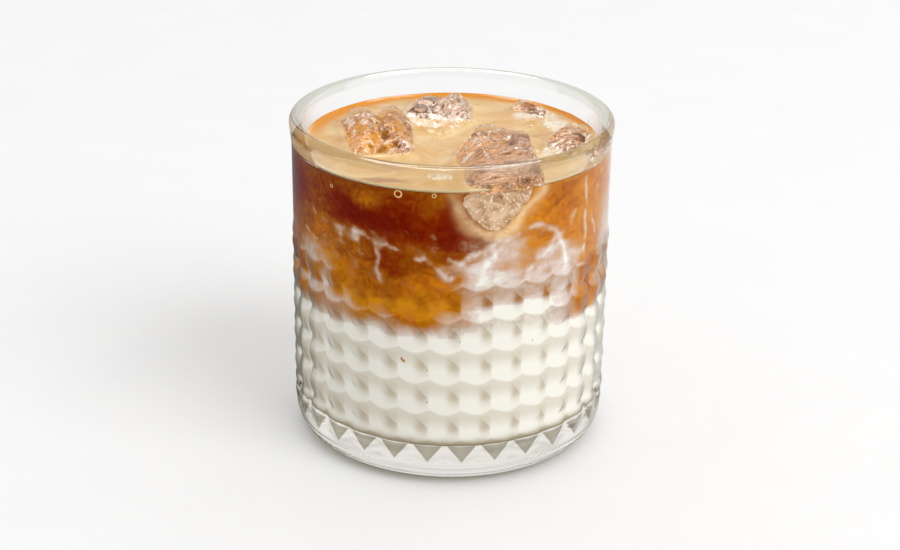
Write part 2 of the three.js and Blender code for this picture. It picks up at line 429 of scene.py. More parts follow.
# facets are azimuth, elevation and share of the half size; a flank is the foot of the bare face at the wall,
# by angle and height; the tint is what shows through the ice
iceChunks = {
    "iceLeft": {
        "node": "ice_left", "at": (-18.8, -1.6, 75.6), "half": (11.4, 14.5, 10.6), "turn": 4, "seed": 2,
        "facets": ((0, 50, 0.92), (-82, 42, 0.86), (88, 40, 0.88), (0, 78, 0.99)),
        "tint": (0.80, 0.43, 0.05), "notch": 2.3, "milky": 0.06,
    },
    "iceBack": {
        "node": "ice_back", "at": (-3, 21.8, 76), "half": (11.6, 9.2, 10), "turn": -8, "seed": 5,
        "facets": ((5, 48, 0.9), (-95, 42, 0.86), (95, 38, 0.84), (178, 40, 0.9)),
        "tint": (1.2, 1.08, 1.0), "notch": 1.2, "milky": 0.40,
    },
    "iceFront": {
        "node": "ice_front", "at": (9.8, -19, 74), "half": (11.6, 19, 12), "turn": 4, "seed": 8,
        "facets": ((-84, 54, 0.86), (0, 74, 0.97), (-130, 14, 0.88), (-60, -40, 0.82), (60, -40, 0.82)),
        "tint": (0.84, 0.53, 0.25), "notch": 0, "milky": 0.08,
        "flank": ((2.4, 79.6), (4.5, 76.6), (7.2, 73.4), (12.2, 70.4), (17, 69.5), (21.7, 70.8), (24.6, 73.8),
                  (29, 76.6), (32.5, 79.6)),
    },
    "iceRightBack": {
        "node": "ice_right_back", "at": (24, 19.5, 75), "half": (9.4, 7.6, 6.6), "turn": -30, "seed": 11,
        "facets": ((-20, 66, 0.9), (150, 45, 0.9)),
        "tint": (1.3, 0.80, 0.30), "notch": 0, "milky": 0.40,
    },
    "iceRight": {
        "node": "ice_right", "at": (29.6, -4.4, 75), "half": (6.8, 10.8, 8.6), "turn": -12, "seed": 14,
        "facets": ((-40, 60, 0.88), (85, 50, 0.96), (-110, 40, 0.96)),
        "tint": (1.6, 1.16, 0.74), "notch": 0, "milky": 0.42,
    },
}
iceForm = {
    "sharpness": 14, "crispness": 26, "sideTilt": 0.3, "sideSpread": 0.16, "tiltStride": 7, "wallReach": 0.1,
    "chips": 1.3, "chipSize": 7.5, "waves": 0.25, "waveSize": 4, "ripple": 0.19, "rippleStep": 2.4,
    "notchWidth": 2.1, "overlap": 0.25, "noiseStride": 31.7, "milkyAbove": 0.72, "frostReach": 2.5,
    "flankSway": 1.6, "footSway": 1.2, "footLift": 0.8, "footTuck": 0.6, "pressedReach": (3.4, 1.4),
}
iceLook = {
    "clear": (0.97, 0.94, 0.9, 1), "ior": 1.31, "dullPatches": ((0.55, (0.0,) * 3), (0.75, (0.12,) * 3)),
    "frost": ((0.34, (0.28, 0.12, 0.04)), (0.5, (0.60, 0.34, 0.165)), (0.66, (0.80, 0.55, 0.35))),
    "sparkle": (0.90, 0.78, 0.66), "milk": ((0.35, (0.74, 0.53, 0.34)), (0.6, (0.90, 0.80, 0.68))),
}


def chunkPlanes(chunk):
    planes = []
    for az, el, share in chunk["facets"]:
        a, e = math.radians(az), math.radians(el)
        planes.append(((math.sin(a) * math.cos(e), -math.cos(a) * math.cos(e), math.sin(e)), share))
    for side in range(6):
        seeds = [chunk["seed"] + side + iceForm["tiltStride"] * axis for axis in range(3)]
        n = [iceForm["sideTilt"] * (scatter(seed) - 0.5) for seed in seeds]
        n[side % 3] = 1 if side < 3 else -1
        length = math.sqrt(sum(v * v for v in n))
        planes.append(([v / length for v in n], 1 - iceForm["sideSpread"] * scatter(chunk["seed"] * side)))
    return planes


def chunkReach(chunk, directions, sharpness):
    total = np.zeros(len(directions))
    for normal, share in chunkPlanes(chunk):
        total += np.maximum(0, directions @ np.array(normal) / share) ** sharpness
    return total ** (-1 / sharpness)


def turnZ(points, degrees):
    c, s = math.cos(math.radians(degrees)), math.sin(math.radians(degrees))
    x, y, z = points.T
    return np.stack([x * c - y * s, x * s + y * c, z], 1)


def ballDirections(level):
    bm = bmesh.new()
    bmesh.ops.create_icosphere(bm, subdivisions=level, radius=1)
    faces = [tuple(v.index for v in f.verts) for f in bm.faces]
    directions = np.array([v.co[:] for v in bm.verts])
    bm.free()
    return directions / np.linalg.norm(directions, axis=1)[:, None], faces


def chunkChips(chunk, local):  # sharp crests between shallow scoops
    where = local + chunk["seed"] * iceForm["noiseStride"]
    return 1 - np.abs(2 * cloud(where, iceForm["chipSize"], chunk["seed"] + 3, 2) - 1)


def chunkRelief(chunk, local, out):  # chips, waves, shell-like ripples on top and a notch in the crest
    f = iceForm
    where = local + chunk["seed"] * f["noiseStride"]
    waves = cloud(where * (1, 1, 1.6), f["waveSize"], chunk["seed"], 2) - 0.5
    top = smoothStep(0.2, 0.7, out[:, 2])
    far = np.hypot(local[:, 0] + 0.6 * chunk["half"][0], local[:, 1] - 0.5 * chunk["half"][1])
    ripple = np.sin(2 * math.pi * far / f["rippleStep"] + 9 * cloud(where, 6, chunk["seed"] + 9, 2)) * top
    notch = np.exp(-((local[:, 0] + 6 * waves) / f["notchWidth"]) ** 2) * top
    chips = f["chips"] * (chunkChips(chunk, local) - 0.8)
    moved = out * (chips + 2 * f["waves"] * waves + f["ripple"] * ripple)[:, None]
    moved[:, 2] -= chunk["notch"] * notch
    return local + moved


def flankGoal(chunk, points, away, limit, shown):  # bare and flat against the wall, its foot behind the drink
    f = iceForm
    angles = angleOf(points) + f["flankSway"] * (cloud(points, 3, 12, 2) - 0.5)
    foot = np.interp(angles, *np.array(chunk["flank"]).T) + f["footSway"] * (cloud(points, 2.5, 13, 2) - 0.5)
    under = smoothStep(0.5, -0.3, points[:, 2] - foot + (f["footLift"] if shown else 0))
    # above the foot the hollow opens the skin of the drink, below it both stay behind the skin
    wall = limit - f["footTuck"] * under if shown else limit + 1 - 1.7 * under
    pressed = smoothStep(*f["pressedReach"], limit - away) * (points[:, 2] < tumbler["level"])
    free = np.minimum(np.minimum(away, limit), wall)
    return np.where(pressed > 0, np.minimum(away + (wall - away) * pressed, wall), free)


def chunkPoints(chunk, directions, growth, shown):  # the chunk itself, or the hollow for it in the drink
    half = np.array(chunk["half"]) + growth
    reach = chunkReach(chunk, directions, iceForm["crispness" if shown else "sharpness"])
    local = directions * reach[:, None] * half
    if shown:
        out = directions / half
        local = chunkRelief(chunk, local, out / np.linalg.norm(out, axis=1)[:, None])
    points = turnZ(local, chunk["turn"]) + np.array(chunk["at"])
    limit = innerRadius(points[:, 2]) + iceForm["wallReach"]
    away = np.maximum(np.hypot(points[:, 0], points[:, 1]), 1e-6)
    goal = flankGoal(chunk, points, away, limit, shown) if "flank" in chunk else np.minimum(away, limit)
    points[:, :2] *= (goal / away)[:, None]
    return points


def chunkSkin(chunk, corners):  # 1 where frosted and pressed to the wall, 2 where milky, else 0
    local = turnZ(corners - np.array(chunk["at"]), -chunk["turn"])
    above = corners[:, 2] - tumbler["level"]
    crest = chunkChips(chunk, local) + 0.25 * (cloud(corners, 1.2, 19, 2) - 0.5)
    wet = 0.6 * cloud(corners, 4, 23, 2) + 0.4 * cloud(corners, 0.9, 24, 2) + chunk["milky"] - 0.16 * above
    milky = (above > -1) & ((crest > 1.0 - 0.06 * chunk["milky"]) | (wet > iceForm["milkyAbove"]))
    edge = innerRadius(corners[:, 2]) - np.hypot(corners[:, 0], corners[:, 1])
    pressed = ("flank" in chunk) & (above < -0.4) & (edge < iceForm["frostReach"])
    return np.where(pressed, 1, np.where(milky, 2, 0))


def nearChunk(chunk, points):  # about how many mm a point lies outside the chunk
    local = turnZ(points - np.array(chunk["at"]), -chunk["turn"]) / np.array(chunk["half"])
    size = np.linalg.norm(local, axis=1)
    reach = chunkReach(chunk, local / np.maximum(size, 1e-6)[:, None], iceForm["sharpness"])
    return (size / reach - 1) * min(chunk["half"][:2])


def makeIceMaterial():
    material, tree, bsdf = startMaterial("wetIce")
    dull = ramp(tree, mottle(tree, size=260, warp=1.2, detail=5), iceLook["dullPatches"])
    melted = bump(tree, mottle(tree, size=420, warp=1.5, detail=3), 0.35, 0.0006)
    fill(tree, bsdf, {"Base Color": iceLook["clear"], "Transmission Weight": 1, "IOR": iceLook["ior"],
                      "Roughness": dull, "Normal": melted})
    passLight(tree, bsdf, iceLook["clear"])
    return material


def makeFrostMaterial():  # ice pressed against the wall, dull and full of fine sparkle
    material, tree, bsdf = startMaterial("frostedIce")
    body = ramp(tree, mottle(tree, size=230, warp=1.0, detail=6), iceLook["frost"])
    # painted glints: pale specks in the colour
    sparkle = softEdge(tree, mottle(tree, size=1700, warp=0.4, detail=2), 0.57, 0.66)
    fill(tree, bsdf, {"Base Color": mixColour(tree, sparkle, body, iceLook["sparkle"]), "Roughness": 0.4,
                      "Normal": bump(tree, mottle(tree, size=700, warp=0.8, detail=4), 0.6, 0.0006)})
    return material


def makeMilkyMaterial():  # milk and foam that cling to the ice
    material, tree, bsdf = startMaterial("milkOnIce")
    tone = ramp(tree, mottle(tree, size=380, warp=1.0, detail=4), iceLook["milk"])
    fill(tree, bsdf, {"Base Color": tone, "Roughness": 0.2,
                      "Normal": bump(tree, mottle(tree, size=1100, warp=0.6, detail=3), 0.4, 0.0004)})
    return material


ballFine, ballFineFaces = ballDirections(6)
ballCoarse, ballCoarseFaces = ballDirections(5)
iceMaterial, frostMaterial, milkyMaterial = makeIceMaterial(), makeFrostMaterial(), makeMilkyMaterial()
cutters = []
for name, chunk in iceChunks.items():
    points = chunkPoints(chunk, ballFine, 0, True)
    piece = meshPiece(name, points, ballFineFaces)
    place(piece, iceMaterial, "ice", chunk["node"])
    piece.data.materials.append(frostMaterial)
    piece.data.materials.append(milkyMaterial)
    skin = chunkSkin(chunk, points[np.array(ballFineFaces)].mean(1))
    piece.data.polygons.foreach_set("material_index", skin.astype(np.int32))
    hollow = chunkPoints(chunk, ballCoarse, -iceForm["overlap"], False)
    cutters.append(meshPiece(name + "Hollow", hollow, ballCoarseFaces))
print("ice made,", len(iceChunks), "chunks")


# Milk and coffee, one body marbled up the wall

drink = {
    "wallReach": 0.12, "cremaThickness": 1.2, "columns": 480, "rows": 160, "degree": 0.66,
    "milkLevel": 41.6, "milkSoft": 4.2, "warpSize": 11, "warpReach": 3.2, "curlSize": 4, "curlReach": 1.6,
    "fineSize": 1.5, "fineReach": 0.55, "streakSize": 3.4, "streakReach": 0.9, "streakFrom": (44, 50),
    "streakTo": (66, 74), "coffeeFrom": (33, 43), "pureMilk": 0.15, "pureBelow": (45, 39), "haloWidth": 1.5,
    "leftSide": (26, 4), "farSide": (-175, -120), "darkBase": 0.14, "darkSize": 4, "darkReach": 0.65,
    "hollowDepth": (0.3, 1.2), "hollowFrom": (50, 58), "hollowShade": (0.4, 1.2), "hollowSize": 3.5,
    "darkByHeight": ((44, 0.0), (50, 0.02), (56, 0.14), (61, 0.32), (66, 0.44), (69.5, 0.66), (75, 0.66),
                     (78, 0.5), (79.6, 0.4)),
}
# where coffee (+) or milk (-) is drawn into the other:
# angle from the front, height, half width in degrees, half height in mm, strength
drinkStrokes = (
    # amber tongue low in front
    (-13, 52, 13, 8, 0.5), (-32, 54, 12, 5, 0.3), (-50, 47, 16, 6, -0.5), (-24, 44, 12, 3, -0.35),
    # pale plume, with a tan cloud in it
    (24, 52, 22, 9, -0.76), (26, 45, 28, 4.5, -0.8), (9, 60, 7, 4.5, -0.6), (36, 63, 9, 6, -0.3),
    (21, 65, 8, 3.5, -0.45), (49, 55, 6, 8, -0.4), (31, 62, 6, 3, 0.3),
    # amber strip at the right, pale beyond, and pale clouds at the left
    (61, 56, 4.5, 12, 0.9), (76, 60, 8, 12, -0.5), (-44, 61, 5, 4, -0.24), (-66, 50, 9, 6, -0.3),
    # the far side
    (120, 62, 26, 14, -0.8), (150, 50, 20, 9, 0.5), (-150, 60, 20, 9, -0.7), (-115, 50, 18, 9, 0.5),
    (-172, 46, 14, 4.5, -0.6), (160, 38.5, 14, 4, 0.7), (-135, 39, 12, 3.5, 0.6), (100, 40, 10, 3.5, 0.6),
    (-92, 46, 10, 5, -0.5),
)
# where the coffee is strong and dark (+) or thin and golden (-)
darkStrokes = (
    (-24, 71, 15, 3.5, 0.3), (-40, 73, 8, 3, 0.25), (0, 69, 6, 5, 0.25), (-58, 71, 9, 7, -0.2),
    (10, 66.5, 5, 2, 0.6), (-34, 76.3, 7, 1.8, -0.45), (-28, 75.5, 6, 2, -0.15), (-3, 77.5, 4, 2.5, -0.25),
    (4, 72, 2.5, 4, -0.3), (-20, 60, 6, 3, 0.2), (-9, 53, 9, 5, -0.15), (44, 74, 8, 4, 0.2),
    (-100, 72, 20, 7, 0.4), (170, 73, 26, 7, 0.8), (110, 74, 18, 5, 0.5), (-145, 74, 15, 5, 0.6),
)
# drawn-out threads of milk: half width in mm, share of milk, then points of angle and height
threads = (
    (0.4, 0.5, ((-40, 66.8), (-31, 66), (-23.5, 65), (-19, 64.5), (-16, 62), (-9, 62.3), (-5, 60.5),
                (0, 57))),
    (0.45, 0.5, ((-44, 66), (-41, 62), (-38, 58.5))),
    (0.35, 0.5, ((-27, 64), (-26, 60), (-27, 55))),
    (0.7, 0.14, ((-24, 68.6), (-14, 68.8), (-7, 68))),
    (0.7, 0.16, ((-4, 71), (-6, 68.5), (-5, 65.5), (-7, 63))),
    (0.5, 0.4, ((-60, 68), (-52, 66.5), (-45, 66.8), (-40, 66))),
    (0.6, 0.35, ((-36, 64.5), (-34, 61), (-35, 57))),
    (0.6, 0.6, ((-2, 62.5), (3, 61), (7, 63.5), (12, 64), (17, 66), (21, 68.2))),
    (0.45, 0.55, ((14, 61), (20, 66), (27, 69), (34, 69.6), (41, 67), (45, 62), (47, 56))),
    (0.5, 0.4, ((18, 58), (26, 57.5), (33, 59), (39, 62), (40, 65))),
    (0.3, 0.7, ((57.5, 78), (58, 66), (58, 50))),
    (0.6, 0.4, ((52, 70), (48, 66.5), (44, 65.5))),
    (0.4, 0.5, ((-66, 62), (-58, 60), (-52, 63))),
    (0.4, 0.6, ((66, 74), (63, 68), (66, 60))),
    (0.5, 0.6, ((95, 70), (108, 66), (120, 68), (134, 63))),
    (0.5, 0.6, ((-92, 64), (-105, 67), (-122, 63), (-138, 66))),
    (0.5, 0.6, ((150, 66), (165, 62), (180, 64), (195, 61))),
)
haloPath = ((0, 79.5), (2.2, 76.4), (5, 72.4), (8, 70), (12, 68.6), (17, 68), (22, 69.2), (26, 72.6),
            (30.5, 75.4), (34.5, 79.5))  # round the flank of the front ice
# painted shade and light of the studs, laid into the drink's colour
studShade = {  # places across and up in a stud run from -1 to 1
    "drop": 1.1, "lowEdge": -0.9, "cornerRound": 0.32, "underDark": 0.38, "topFade": 0.0,
    "spotAt": (0.62, 0.34), "spotSize": (0.46, 0.66), "spotDark": 0.66, "dark": (0.52, 0.44, 0.31),
}
drinkLook = {
    "coffee": ((0.0, (0.68, 0.26, 0.005)), (0.25, (0.55, 0.155, 0.003)), (0.5, (0.31, 0.074, 0.001)),
               (0.72, (0.24, 0.024, 0.0)), (1.0, (0.155, 0.005, 0.0))),
    "cream": ((0.2, (0.56, 0.32, 0.12)), (0.45, (0.64, 0.45, 0.33)), (0.7, (0.72, 0.57, 0.50)),
              (0.88, (0.80, 0.70, 0.64)), (1.0, (0.93, 0.895, 0.82))),
    "cover": ((0.15, (0.0,) * 3), (0.4, (0.6,) * 3), (0.7, (1.0,) * 3)),
    "milkStreaks": 0.45, "coffeeStreaks": 0.75, "paintedLightLift": (-0.55, 0.16),
    "mixTop": (62, 56), "mixFoot": (41, 46),
    "halo": (0.86, 0.58, 0.30), "haloShare": 0.85, "heelShade": (0.68, 0.62, 0.50), "heelHeight": (13, 10.5),
    "underside": (0.82, 0.81, 0.79), "undersideHeight": (9.8, 9.4), "undersideRadius": 40,
    # rings of painted glow on the underside
    "undersideGlowRings": ((0.0, (0.62, 0.61, 0.58)), (0.35, (0.72, 0.71, 0.68)), (0.5, (0.56, 0.55, 0.52)),
                       (0.62, (0.74, 0.73, 0.70)), (0.72, (0.60, 0.59, 0.55)), (0.86, (0.74, 0.73, 0.70))),
    "vein": (0.3, 0.18, 0.09), "clingingMilk": (0.97, 0.88, 0.76),
    "liningPatches": ((0.40, (0.17, 0.09, 0.04)), (0.49, (0.70, 0.60, 0.48)), (0.57, (1.0, 1.0, 1.0))),
    "liningGlow": (0.38, 0.38, 0.38),
}


def strokeSum(strokes, angles, z):
    total = np.zeros(len(angles))
    for angle, height, wide, tall, strength in strokes:
        da = (angles - angle + 180) % 360 - 180
        total += strength * np.exp(-((da / wide) ** 2) - ((z - height) / tall) ** 2)
    return total


def threadNear(path, angles, z, width):
    best = np.full(len(angles), 1e9)
    across = drink["degree"]
    for (a0, z0), (a1, z1) in zip(path, path[1:]):
        x = ((angles - a0 + 180) % 360 - 180) * across
        dx, dz = (a1 - a0) * across, z1 - z0
        t = np.clip((x * dx + (z - z0) * dz) / (dx * dx + dz * dz), 0, 1)
        best = np.minimum(best, (x - t * dx) ** 2 + (z - z0 - t * dz) ** 2)
    return np.exp(-best / width ** 2)


def drift(points, size, seed, octaves, reach):  # sideways and upward wander of the marbling, in mm
    return [(cloud(points, size, seed + k, octaves) - 0.5) * 2 * reach for k in range(2)]


def drinkShares(points):  # milk share, coffee strength and the pale halo round the front ice
    d = drink
    warp = drift(points * (1, 1, 1.3), d["warpSize"], 40, 3, d["warpReach"])
    curl = drift(points + 90, d["curlSize"], 50, 4, d["curlReach"])
    fine = drift(points + 60, d["fineSize"], 45, 3, d["fineReach"])
    plain = angleOf(points)
    angles = plain + (warp[0] + curl[0]) / d["degree"]
    z = points[:, 2] + warp[1] + curl[1]
    near = plain + (0.8 * curl[0] + fine[0]) / d["degree"]
    nearZ = points[:, 2] + 0.8 * curl[1] + fine[1]
    drawn = np.stack([angles * d["degree"] * 0.4, z * 1.2, angles * 0], 1)
    torn = smoothStep(0.25, 0.65, cloud(points * (1, 1, 0.7) + 40, 3, 81, 3))

    coffee = smoothStep(-d["milkSoft"], d["milkSoft"], z - d["milkLevel"])
    coffee += strokeSum(drinkStrokes, angles, z)
    streaks = d["streakReach"] * (cloud(drawn, d["streakSize"], 71, 4) - 0.5)
    coffee += streaks * smoothStep(*d["streakFrom"], z) * (1 - smoothStep(*d["streakTo"], z))
    milk = 1 - np.clip(coffee, 0, 1) * smoothStep(*d["coffeeFrom"], points[:, 2])
    for width, share, path in threads:
        wisp = 0.5 * threadNear(path, near, nearZ, 1.2 * width)
        wisp += 0.5 * threadNear(path, near, nearZ, 3.2 * width) * torn
        milk = np.clip(milk + share * wisp * (0.3 + 0.7 * torn), 0, 1)
    milk += d["pureMilk"] * smoothStep(*d["pureBelow"], z)

    left = smoothStep(*d["leftSide"], plain) * smoothStep(*d["farSide"], plain)
    dark = d["darkBase"] + left * np.interp(z, *np.array(d["darkByHeight"]).T)
    dark += strokeSum(darkStrokes, angles, z)
    dark += d["darkReach"] * (cloud(drawn + 30, d["darkSize"], 61, 4) - 0.5)
    halo = threadNear(haloPath, near, nearZ, d["haloWidth"])
    halo *= 0.35 + 0.5 * smoothStep(0, 16, plain) + 0.25 * torn
    return milk, np.clip(dark, 0, 1), halo


def hollowTints(points):  # walls of the ice's hollows, in the tint that each gives its ice
    d = drink
    depth = innerRadius(points[:, 2]) - np.hypot(points[:, 0], points[:, 1])
    inside = smoothStep(*d["hollowDepth"], depth) * smoothStep(*d["hollowFrom"], points[:, 2])
    gaps = np.stack([np.abs(nearChunk(chunk, points)) for chunk in iceChunks.values()])
    tints = np.array([chunk["tint"] for chunk in iceChunks.values()])[np.argmin(gaps, 0)]
    shade = d["hollowShade"][0] + d["hollowShade"][1] * cloud(points, d["hollowSize"], 66, 4)
    tints = tints * shade[:, None]
    return np.concatenate([tints / np.maximum(tints.max(1), 1)[:, None], inside[:, None]], 1)


def makeDrink():
    t, d = tumbler, drink
    reach = d["wallReach"]
    fillet = filletCentre()
    top = t["level"] - d["cremaThickness"] + 0.1
    brim = t["level"] + 0.1
    profile = [(r, t["floorHeight"] - reach) for r in (10, 20)]
    profile += arcPoints(fillet, t["floorFillet"] + reach, -90, 0, 12)
    heights = np.linspace(fillet[1], brim, d["rows"] + 1)[1:]
    profile += [(float(innerRadius(z)) + reach, z) for z in heights]
    profile += [(r, top) for r in (36.6, 34, 28, 20, 10)]
    rows = np.stack(profileRings(profile, roundAngles(d["columns"])))
    return turnedMesh("latteBody", rows, (0, 0, t["floorHeight"] - reach), (0, 0, top))


def studLight(tree, x, y, z):  # painted shade and light of the studs on the drink behind them: how far the studs keep the light from it
    s = studShade
    column, row = studPlace(tree, x, y, z, s["drop"])
    across = calc(tree, "SUBTRACT", calc(tree, "FLOORED_MODULO", column, 2.0), 1.0)
    up = calc(tree, "SUBTRACT", calc(tree, "FLOORED_MODULO", calc(tree, "ADD", row, 1.0), 2.0), 1.0)
    rounded = calc(tree, "MULTIPLY_ADD", product(tree, across, across), s["cornerRound"], s["lowEdge"])
    low = softEdge(tree, calc(tree, "SUBTRACT", rounded, up), -0.08, 0.12)
    top = softEdge(tree, up, s["topFade"], 1.0)
    edge = product(tree, calc(tree, "MAXIMUM", low, top), s["underDark"])
    side = calc(tree, "DIVIDE", calc(tree, "SUBTRACT", across, s["spotAt"][0]), s["spotSize"][0])
    rise = calc(tree, "DIVIDE", calc(tree, "SUBTRACT", up, s["spotAt"][1]), s["spotSize"][1])
    away = calc(tree, "ADD", product(tree, side, side), product(tree, rise, rise))
    corner = softEdge(tree, calc(tree, "ADD", across, up), 1.3, 1.15)
    spot = product(tree, calc(tree, "EXPONENT", product(tree, away, -1.0)), s["spotDark"],
                   softEdge(tree, across, 1.0, 0.85), calc(tree, "MULTIPLY_ADD", corner, 0.6, 0.4))
    lastRow = 2 * tumbler["studRows"]
    return product(tree, calc(tree, "ADD", edge, spot), softEdge(tree, row, lastRow + 0.2, lastRow - 0.6),
                   softEdge(tree, row, 0.0, 0.8))


def marbledColour(tree, z, shade):  # coffee and milk run together, behind the studs
    look = drinkLook
    streaks = calc(tree, "SUBTRACT", mottle(tree, size=420, warp=1.5, detail=5), 0.5)
    # painted light of the studs: the lit cells turn pale with milk, the shaded gaps brown
    lift = product(tree, calc(tree, "MULTIPLY_ADD", shade, *look["paintedLightLift"]),
                   placeEdge(tree, z, *look["mixTop"]), placeEdge(tree, z, *look["mixFoot"]))
    part = calc(tree, "MULTIPLY_ADD", streaks, look["milkStreaks"], readShare(tree, "milkShare"))
    part = calc(tree, "ADD", part, lift)
    deep = calc(tree, "MULTIPLY_ADD", streaks, look["coffeeStreaks"], readShare(tree, "coffeeStrength"))
    coffee = ramp(tree, deep, look["coffee"])
    body = mixColour(tree, ramp(tree, part, look["cover"]), coffee, ramp(tree, part, look["cream"]))
    halo = readShare(tree, "paleHalo")
    halo = calc(tree, "MULTIPLY_ADD", halo, look["haloShare"], product(tree, streaks, halo))
    body = mixColour(tree, halo, body, look["halo"])
    # painted shade of the studs
    body = mixColour(tree, shade, body, studShade["dark"], "MULTIPLY")
    # painted shade low at the heel
    return mixColour(tree, placeEdge(tree, z, *look["heelHeight"]), body, look["heelShade"], "MULTIPLY")


def liningColour(tree, tint):  # what shows through the ice
    look = drinkLook
    middle = calc(tree, "ABSOLUTE", calc(tree, "SUBTRACT", mottle(tree, size=230, warp=2.5, detail=4), 0.5))
    lining = mixColour(tree, softEdge(tree, middle, 0.0, 0.05), look["vein"], (1.0, 1.0, 1.0))
    patches = ramp(tree, mottle(tree, size=170, warp=2.0, detail=5), look["liningPatches"])
    lining = mixColour(tree, 1.0, lining, patches, "MULTIPLY")
    lining = mixColour(tree, 1.0, lining, tint, "MULTIPLY")
    cling = softEdge(tree, mottle(tree, size=360, warp=1.8, detail=5), 0.56, 0.62)
    return mixColour(tree, cling, lining, look["clingingMilk"])


def makeDrinkMaterial():
    look = drinkLook
    material, tree, bsdf = startMaterial("milkAndCoffee")
    x, y, z = surfacePlace(tree)
    hollow = node(tree, "ShaderNodeAttribute", attribute_name="hollowTint").outputs
    lining = liningColour(tree, hollow["Color"])
    flat = placeEdge(tree, z, *look["undersideHeight"])
    body = mixColour(tree, flat, marbledColour(tree, z, studLight(tree, x, y, z)), look["underside"])
    body = mixColour(tree, hollow["Alpha"], body, lining)
    # painted glow: emission that stands in for light seeping through the milk and round the ice
    far = calc(tree, "SQRT", calc(tree, "ADD", product(tree, x, x), product(tree, y, y)))
    far = product(tree, far, 1 / (look["undersideRadius"] * mm))
    glow = mixColour(tree, flat, (0.0, 0.0, 0.0), ramp(tree, far, look["undersideGlowRings"]))
    inner = mixColour(tree, 1.0, lining, look["liningGlow"], "MULTIPLY")
    glow = mixColour(tree, hollow["Alpha"], glow, inner)
    fill(tree, bsdf, {"Base Color": body, "Emission Color": glow, "Emission Strength": 1, "Roughness": 0.5,
                      "Specular IOR Level": 0.0})
    return material


drinkPiece = makeDrink()
carve(drinkPiece, cutters)
drinkPoints = pointsOf(drinkPiece)
for name, values in zip(("milkShare", "coffeeStrength", "paleHalo"), drinkShares(drinkPoints)):
    setShare(drinkPiece, name, values)
setTint(drinkPiece, "hollowTint", hollowTints(drinkPoints))
place(drinkPiece, makeDrinkMaterial(), "coffee", "milk", "coffee")
print("drink made,", len(drinkPiece.data.polygons), "faces")


# Crema on top, drawn up the wall and the ice

crema = {"columns": 300, "rings": 60, "meniscus": 0.85, "meniscusReach": 1.1, "ripple": 0.25, "rippleSize": 6}
cremaLook = {
    "swirl": ((0.3, (0.66, 0.35, 0.095)), (0.5, (0.76, 0.46, 0.17)), (0.7, (0.88, 0.65, 0.33))),
    "clearRing": (0.75, 0.27, 0.005), "thinCrema": (0.50, 0.25, 0.10), "floatingMilk": (0.89, 0.76, 0.60),
    "paleEdge": (0.93, 0.74, 0.42),  # laid over each other in this order
}
# milk that floats on the crema, and thin brown places: x, y, half sizes, strength
milkPatches = (
    (21, 18.5, 6, 3, 0.9), (28, 11, 4, 6, 0.8), (-9, 17, 7, 3, 0.8), (2, 14.5, 6, 2, 0.6),
    (-2, -27, 4.5, 3, 0.9), (24, -12, 3, 3, 0.7), (-32, 8, 4, 8, 0.25),
)
brownPatches = (
    (-16, -30.2, 7, 1.8, 0.9), (-16, -19.4, 6.5, 1.2, 0.8), (22, -22, 2, 1.2, 0.7), (22.5, 4, 2, 1.4, 0.7),
    (-4, 3, 7, 1, 0.25),
)


def cremaHeight(points):
    c = crema
    away = innerRadius(np.full(len(points), tumbler["level"])) - np.hypot(points[:, 0], points[:, 1])
    rise = np.exp(-np.maximum(away, 0) / c["meniscusReach"])
    for chunk in iceChunks.values():
        rise = np.maximum(rise, np.exp(-np.maximum(nearChunk(chunk, points), 0) / c["meniscusReach"]))
    ripple = cloud(points, c["rippleSize"], 91, 2) - 0.5
    return tumbler["level"] + c["meniscus"] * rise + c["ripple"] * ripple


def makeCrema():
    c = crema
    angles = roundAngles(c["columns"])
    outer = float(innerRadius(np.array(tumbler["level"]))) + drink["wallReach"]
    under = tumbler["level"] - drink["cremaThickness"]
    radii = outer * (1 - np.linspace(0, 1, c["rings"] + 1)[:-1] ** 1.5)
    rows = [ring(r, under, angles) for r in (12, 24, outer - 1.5)]
    for r in radii:
        flat = ring(r, tumbler["level"], angles)
        flat[:, 2] = cremaHeight(flat)
        rows.append(flat)
    return turnedMesh("cremaFilm", np.stack(rows), (0, 0, under), (0, 0, tumbler["level"]))


def patchSum(patches, points):
    moved = points[:, :2] + 2.4 * np.stack([cloud(points, 3, 93 + k, 3) - 0.5 for k in range(2)], 1)
    total = np.zeros(len(points))
    for x, y, wide, deep, strength in patches:
        total += strength * np.exp(-((moved[:, 0] - x) / wide) ** 2 - ((moved[:, 1] - y) / deep) ** 2)
    return smoothStep(0.25, 0.75, total + 0.5 * (cloud(points, 1.6, 97, 3) - 0.5))


def cremaShares(points):  # an amber ring at the back, a pale line at the front, milk and thin places
    edge = np.hypot(points[:, 0], points[:, 1])
    back = smoothStep(-5, 12, points[:, 1])
    wavy = edge + 2 * (cloud(points, 8, 33, 2) - 0.5)
    return {"clearRing": smoothStep(33.5, 36.5, wavy) * back, "thinCrema": patchSum(brownPatches, points),
            "floatingMilk": patchSum(milkPatches, points),
            "paleEdge": smoothStep(36.9, 37.5, edge) * (1 - back)}


def makeCremaMaterial(shares):
    material, tree, bsdf = startMaterial("cremaSurface")
    tone = ramp(tree, mottle(tree, size=42, warp=2.2, detail=4), cremaLook["swirl"])
    for name in shares:
        tone = mixColour(tree, readShare(tree, name), tone, cremaLook[name])
    fill(tree, bsdf, {"Base Color": tone, "Roughness": 0.12, "IOR": 1.34})
    return material


cremaPiece = makeCrema()
carve(cremaPiece, cutters)
shares = cremaShares(pointsOf(cremaPiece))
for name, values in shares.items():
    setShare(cremaPiece, name, values)
place(cremaPiece, makeCremaMaterial(shares), "crema", "crema")
for cutter in cutters:
    bpy.data.objects.remove(cutter)
print("crema made,", len(cremaPiece.data.polygons), "faces")


# Foam, bubbles and specks

